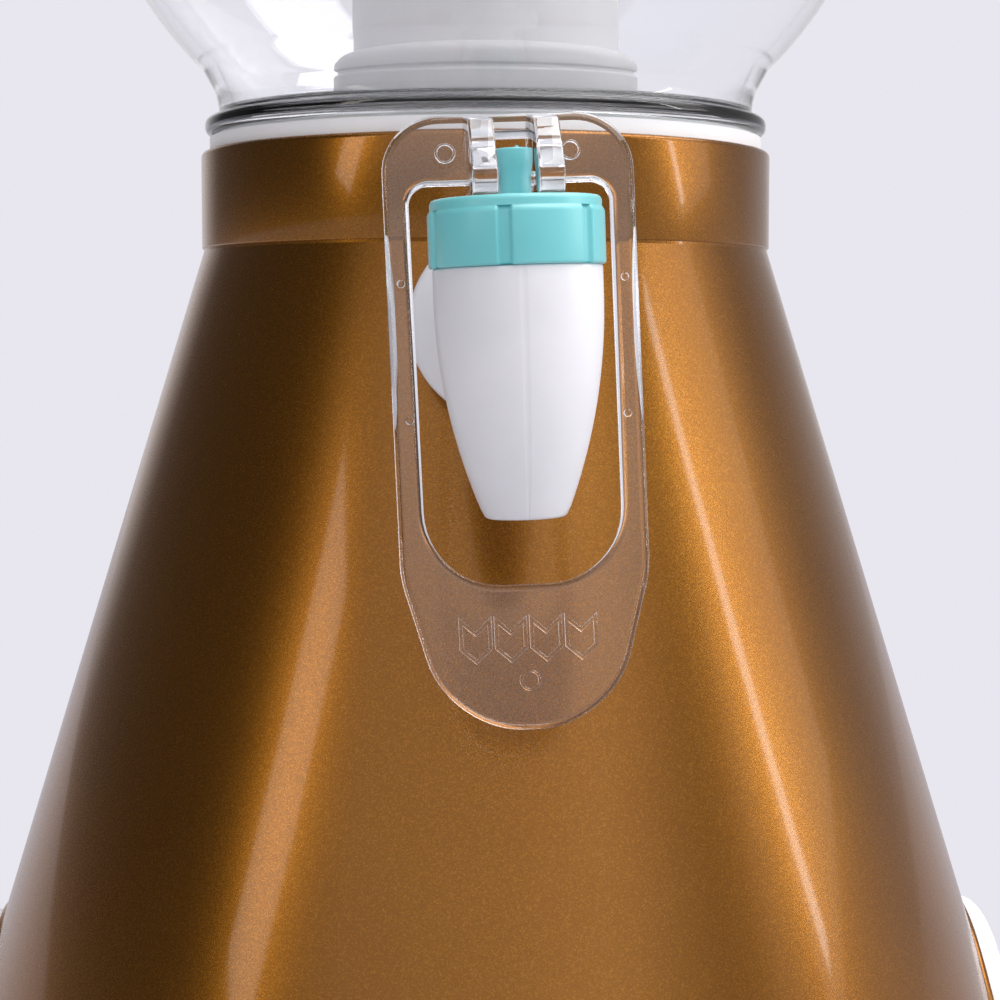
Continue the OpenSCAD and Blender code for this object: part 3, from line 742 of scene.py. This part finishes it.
def cheek(side):
    bm = bmesh.new()
    low = fork_half if side > 0 else -fork_half - cheek_t
    posts = [
        (-heel_reach, 0, heel_r), (post_r - heel_r, brow, post_r),
        (lever_back + plate_top * math.sin(lever_lean), plate_top * math.cos(lever_lean), post_r - 0.1),
        (lever_back, post_r - heel_r / 2, post_r - 0.1),
    ]
    for y, z, radius in posts:
        for x in (low, low + cheek_t):
            bmesh.ops.create_circle(bm, segments=40, radius=radius, matrix=Matrix.Translation((x, y, z))
                                    @ Matrix.Rotation(math.radians(90), 4, "Y"))
    skin = bmesh.ops.convex_hull(bm, input=bm.verts[:])
    inside = [part for part in skin["geom_interior"] if isinstance(part, bmesh.types.BMVert)]
    bmesh.ops.delete(bm, geom=inside, context="VERTS")
    bmesh.ops.dissolve_limit(bm, angle_limit=math.radians(1), verts=bm.verts[:], edges=bm.edges[:])
    rims = [e for e in bm.edges if len(e.link_faces) == 2 and e.calc_face_angle() > math.radians(60)]
    bmesh.ops.bevel(bm, geom=rims, offset=0.45, offset_type="OFFSET", segments=3, profile=0.5, affect="EDGES",
                    material=-1)
    return as_object(bm, f"lever_cheek_{'right' if side > 0 else 'left'}")


def stud(side):
    bm = bmesh.new()
    inner = 0.6 if side > 0 else -fork_half - 0.5
    bmesh.ops.create_cone(bm, cap_ends=True, segments=40, radius1=stud_r, radius2=stud_r, depth=fork_half - 0.1,
                          matrix=Matrix.Translation((inner + (fork_half - 0.1) / 2, 0, 0))
                          @ Matrix.Rotation(math.radians(90), 4, "Y"))
    return as_object(bm, f"lever_stud_{'right' if side > 0 else 'left'}")


def plate_mark(bm, name):
    bm.transform(plate_place)
    return as_object(bm, name)


# A bead's middle lies just below the plate's face, because a union can go wrong where points lie on a face.
bead_sink = 0.01


def bead_loop(name, corners, radius):
    """A round bead that follows a closed outline on the plate's front face, half sunk into it."""
    bm = bmesh.new()
    rings = []
    for i, corner in enumerate(corners):
        before = (corner - corners[i - 1]).normalized()
        after = (corners[(i + 1) % len(corners)] - corner).normalized()
        side = Vector((before.y, -before.x))
        mitre = (side + Vector((after.y, -after.x))).normalized()
        face_on = Matrix(((mitre.x, 0, mitre.y), (mitre.y, 0, -mitre.x), (0, 1, 0))).to_4x4()
        place = (Matrix.Translation((corner.x, corner.y, lever_t / 2 - bead_sink)) @ face_on
                 @ Matrix.Diagonal((1 / mitre.dot(side), 1, 1, 1)) @ Matrix.Rotation(math.radians(90), 4, "Z"))
        ring = bmesh.ops.create_circle(bm, segments=14, radius=radius, matrix=place)["verts"]
        rings.append([edge for vert in ring for edge in vert.link_edges if edge.verts[0] == vert])
    for ring, following in zip(rings, rings[1:] + rings[:1]):
        bmesh.ops.bridge_loops(bm, edges=ring + following)
    bmesh.ops.recalc_face_normals(bm, faces=bm.faces[:])
    return plate_mark(bm, name)


def ring_mark(name, x, y, radius, bead):
    turns = [math.radians(9 * i) for i in range(40)]
    return bead_loop(name, [Vector((x + radius * math.cos(t), y + radius * math.sin(t))) for t in turns], bead)


def dot_mark(name, x, y, radius, proud=0.4):
    bm = bmesh.new()
    spin_section(bm, [(0, -0.3), (radius, -0.3), (radius, proud, 0.35), (0, proud)], 32, closed=False)
    bm.transform(Matrix.Translation((x, y, lever_t / 2)))
    return plate_mark(bm, name)


# %% [markdown]
# The paddle carries a row of raised outline marks that show where to press. Each one here is the outline of a
# plain chevron that points down, raised as a thin round bead.

# %% The chevrons
mark_pitch = 6.1
mark_w = 5.0
mark_h = 7.0
mark_bead = 0.36
mark_middle = -79.6


def chevron(name, middle):
    half = mark_w / 2
    drop = 2.2
    top = mark_middle + mark_h / 2
    low = mark_middle - mark_h / 2
    return bead_loop(name, [Vector(corner) for corner in (
        (middle - half, top), (middle, top - drop), (middle + half, top),
        (middle + half, low + drop), (middle, low), (middle - half, low + drop))], mark_bead)


def union(target, tools):
    for tool in tools:
        step = target.modifiers.new(tool.name, "BOOLEAN")
        step.operation = "UNION"
        step.solver = "EXACT"
        step.object = tool
    bpy.context.view_layer.update()
    view = target.evaluated_get(bpy.context.evaluated_depsgraph_get())
    mesh = bpy.data.meshes.new_from_object(view)
    for tool in tools + [target]:
        bpy.data.objects.remove(tool)
    return mesh


# %% [markdown]
# After the union, the broad faces of the plate and the cheeks are shaded flat and only the rounded edges and the
# beads smooth. If all of it were smooth, the plate's long triangles would bend the light and show as streaks.

# %% The lever as one moulding
marks = [chevron(f"mark_{i}", (i - 1.5) * mark_pitch) for i in range(4)]
marks += [ring_mark("gate_ring", 0, -86.6, 1.6, 0.26)]
marks += [ring_mark(f"ejector_{s}", s * 11.0, 5.8, 1.6, 0.24) for s in (-1, 1)]
dimples = [(19.6, -17), (19.0, -41)]
marks += [dot_mark(f"dimple_{s}_{i}", s * x, y, 0.75) for s in (-1, 1) for i, (x, y) in enumerate(dimples)]
lever_mesh = union(plate_piece, [cheek(-1), cheek(1), stud(-1), stud(1)] + marks)
lever = bmesh.new()
lever.from_mesh(lever_mesh)
bpy.data.meshes.remove(lever_mesh)
push_lever = finish_piece(lever, "push_lever_moulding", "lever", tap_place, clear_lever,
                          ["push_lever"], sharp=50)
plate_facing = ((tap_place @ plate_place).to_3x3() @ Vector((0, 0, 1))).normalized()
flats = [face for face in push_lever.data.polygons
         if max(abs(face.normal.dot(plate_facing)), abs(face.normal.x)) > 0.9999]
for face in flats:
    face.use_smooth = False
print("lever: kept", len(flats), "faces flat")


# %% [markdown]
# ## Finishes on the parts that keep their engineering shape
# Seals, washers, the nut, the screws, the base plate and the cone itself are right as they are, so each keeps
# its mesh and gets the finish of its real material.

# %% Finishes for the other parts
finishes = {
    "base_shell": bronze, "base_plate": dark_pp, "foot_pad": black_rubber, "base_screws": steel,
    "knob_screw": steel, "return_spring": steel, "sump": milky_pp, "sump_seal": silicone,
    "core_seal": silicone, "lid_seal": silicone, "bonnet_seal": silicone, "shank_washer": silicone,
    "seat_cup": silicone, "bevel_gasket": white_epdm,
    "saddle_spacer": white_abs, "lock_nut": white_abs,
}
for node_name, material in finishes.items():
    mesh = nodes[node_name].data
    mesh.materials.clear()
    mesh.materials.append(material)
kept = [name for name in nodes if not nodes[name].hide_render]
print("parts that keep their shape:", sorted(kept), "without a finish:", sorted(set(kept) - set(finishes)))


# %% [markdown]
# ## Studio
# The dispenser stands on a plain pale floor that runs into a plain pale backdrop. The floor is ordinary matt
# paint near the dispenser, so it takes a soft shadow, and it fades into the backdrop's own glow further out, so
# that no horizon shows. A curved wall would do the same, but a fade needs no extra geometry.

# %% Floor
pale_hex = "#e8e6ee"
floor_reach = 8.0
fade_start = 0.13
fade_end = 0.36
floor_mesh = bpy.data.meshes.new("floor")
floor_bm = bmesh.new()
bmesh.ops.create_grid(floor_bm, x_segments=1, y_segments=1, size=floor_reach)
floor_bm.to_mesh(floor_mesh)
floor_bm.free()
floor = bpy.data.objects.new("floor", floor_mesh)
bpy.context.scene.collection.objects.link(floor)
floor_material, floor_tree, floor_surface = new_material("pale_floor", Roughness=0.7)
floor_surface.inputs["Specular IOR Level"].default_value = 0.0
floor_place = add_node(floor_tree, "ShaderNodeTexCoord").outputs["Object"]
floor_far = add_node(floor_tree, "ShaderNodeVectorMath", {"operation": "LENGTH"}, i0=floor_place)
floor_fade = add_node(floor_tree, "ShaderNodeMapRange", {"From Min": fade_start, "From Max": fade_end,
                      "interpolation_type": "SMOOTHSTEP"}, Value=floor_far.outputs["Value"])
far_share = floor_fade.outputs["Result"]
floor_shade = ramp(floor_tree, far_share, [(0.0, colour("#cfcdd3")), (1.0, colour("#000000"))])
floor_glow = ramp(floor_tree, far_share, [(0.0, colour("#000000")), (1.0, colour(pale_hex))])
floor_tree.links.new(floor_shade.outputs["Color"], floor_surface.inputs["Base Color"])
floor_tree.links.new(floor_glow.outputs["Color"], floor_surface.inputs["Emission Color"])
floor_ray = add_node(floor_tree, "ShaderNodeLightPath")
floor_seen = add_node(floor_tree, "ShaderNodeMath", {"operation": "MAXIMUM"},
                      i0=floor_ray.outputs["Is Camera Ray"], i1=floor_ray.outputs["Is Transmission Ray"])
floor_strength = add_node(floor_tree, "ShaderNodeMapRange", {"To Min": 0.8, "To Max": 1.0},
                          Value=floor_seen.outputs["Value"])
floor_tree.links.new(floor_strength.outputs["Result"], floor_surface.inputs["Emission Strength"])
floor_mesh.materials.append(floor_material)
print("floor reaches", floor_reach, "m each way")

# %% [markdown]
# The backdrop looks the same pale colour from every side, and it shows so through the clear plastic too. What
# lights the dispenser and shows in its lacquer is another matter: glossy paint mirrors the whole room, so the
# room is drawn as soft bands round the compass. It is light in front, darker to the left and between the front
# and the right-hand window, and light again behind. Two rows of bands are mixed by height: eye level and above.

# %% The room that the lacquer mirrors
world = bpy.data.worlds.new("studio")
bpy.context.scene.world = world
world.use_nodes = True
sky = world.node_tree
backdrop = sky.nodes["Background"]
direction = add_node(sky, "ShaderNodeTexCoord").outputs["Generated"]
axes = add_node(sky, "ShaderNodeSeparateXYZ", i0=direction)
towards_front = add_node(sky, "ShaderNodeMath", {"operation": "MULTIPLY"}, i0=axes.outputs["Y"])
towards_front.inputs[1].default_value = -1.0
compass = add_node(sky, "ShaderNodeMath", {"operation": "ARCTAN2"},
                   i0=axes.outputs["X"], i1=towards_front.outputs["Value"])
round_room = add_node(sky, "ShaderNodeMapRange", {"From Min": -math.pi, "From Max": math.pi},
                      Value=compass.outputs["Value"])


def room_bands(bands):
    """Bands are azimuth and brightness. Azimuth 0 is in front of the tap, and positive turns to the right."""
    stops = [(0.5 + azimuth / 360, [level * 0.985, level * 0.97, level, 1.0]) for azimuth, level in bands]
    return ramp(sky, round_room.outputs["Result"], stops).outputs["Color"]


upper_bands = room_bands([
    (-158, 0.8), (-138, 0.1), (-66, 0.07), (-50, 0.45), (-36, 0.85), (0, 0.95), (26, 1.25), (38, 1.0),
    (54, 0.45), (62, 0.5), (68, 1.0), (92, 0.9), (112, 0.35), (148, 0.4), (164, 0.8),
])
eye_bands = room_bands([
    (-158, 0.8), (-138, 0.13), (-100, 0.08), (-58, 0.09), (-36, 0.2), (40, 0.3), (58, 0.5), (70, 0.75),
    (98, 0.7), (118, 0.4), (148, 0.5), (164, 0.8),
])
above_eye = add_node(sky, "ShaderNodeMapRange", {"From Min": 0.08, "From Max": 0.28}, Value=axes.outputs["Z"])
walls = add_node(sky, "ShaderNodeMix", {"data_type": "RGBA"},
                 i0=above_eye.outputs["Result"], i6=eye_bands, i7=upper_bands)
ceiling = add_node(sky, "ShaderNodeMapRange", {"From Min": 0.75, "From Max": 0.95}, Value=axes.outputs["Z"])
room = add_node(sky, "ShaderNodeMix", {"data_type": "RGBA"},
                i0=ceiling.outputs["Result"], i6=walls.outputs[2])
room.inputs[7].default_value = (1.3, 1.28, 1.3, 1.0)
ray = add_node(sky, "ShaderNodeLightPath")
seen = add_node(sky, "ShaderNodeMath", {"operation": "MAXIMUM"}, i0=ray.outputs["Is Camera Ray"],
                i1=ray.outputs["Is Transmission Ray"])
view = add_node(sky, "ShaderNodeMix", {"data_type": "RGBA"}, i0=seen.outputs["Value"], i6=room.outputs[2])
view.inputs[7].default_value = colour(pale_hex)
sky.links.new(view.outputs[2], backdrop.inputs["Color"])
print("room drawn")


# %% [markdown]
# Soft boxes add the crisp edges that a band of grey cannot. A tall slanting strip on the right draws the bright
# line down the cone, a broad panel beside it fills the right-hand side of the tap, a low one on the left draws
# the weaker line, and a large panel overhead lights the white parts from above, out of the cone's mirror. The
# last one fills the right-hand side of the white parts and is hidden from glossy surfaces, so that the lacquer
# does not show it.

# %% Soft boxes
def soft_box(name, azimuth, elevation, distance, width, tall, radiance, tint, roll=0.0):
    """A rectangular soft box that points at the tap, with its brightness as seen by the dispenser."""
    aim = Vector((0, 0, 0.17))
    turn, lift = math.radians(azimuth), math.radians(elevation)
    data = bpy.data.lights.new(name, "AREA")
    data.shape = "RECTANGLE"
    data.size = width
    data.size_y = tall
    data.energy = radiance * math.pi * width * tall
    data.color = colour(tint)[:3]
    light = bpy.data.objects.new(name, data)
    bpy.context.scene.collection.objects.link(light)
    outwards = Vector((math.sin(turn) * math.cos(lift), -math.cos(turn) * math.cos(lift), math.sin(lift)))
    light.location = aim + distance * outwards
    facing = (-outwards).to_track_quat("-Z", "Y")
    light.rotation_euler = (facing.to_matrix() @ Matrix.Rotation(math.radians(roll), 3, "Z")).to_euler()
    light.visible_camera = False
    print(name, "at", [round(v, 2) for v in light.location])
    return light


soft_box("right_strip", 71, 18.0, 1.3, 0.045, 0.7, 9.0, "#ffffff", roll=31)
soft_box("right_panel", 80, 20, 1.3, 0.45, 0.75, 0.9, "#fffaf4", roll=20)
soft_box("left_strip", -53.5, 17.0, 1.3, 0.17, 0.48, 3.6, "#fff8f0", roll=-30)
soft_box("overhead", 72, 64, 1.6, 2.0, 1.3, 3.0, "#fffcfa")
right_fill = soft_box("right_fill", 84, 6, 1.3, 0.9, 0.4, 2.4, "#ffffff")
right_fill.visible_glossy = False
bpy.context.scene.view_settings.view_transform = "Standard"


# %% [markdown]
# ## Close

# %% Finish
print("all pieces made")
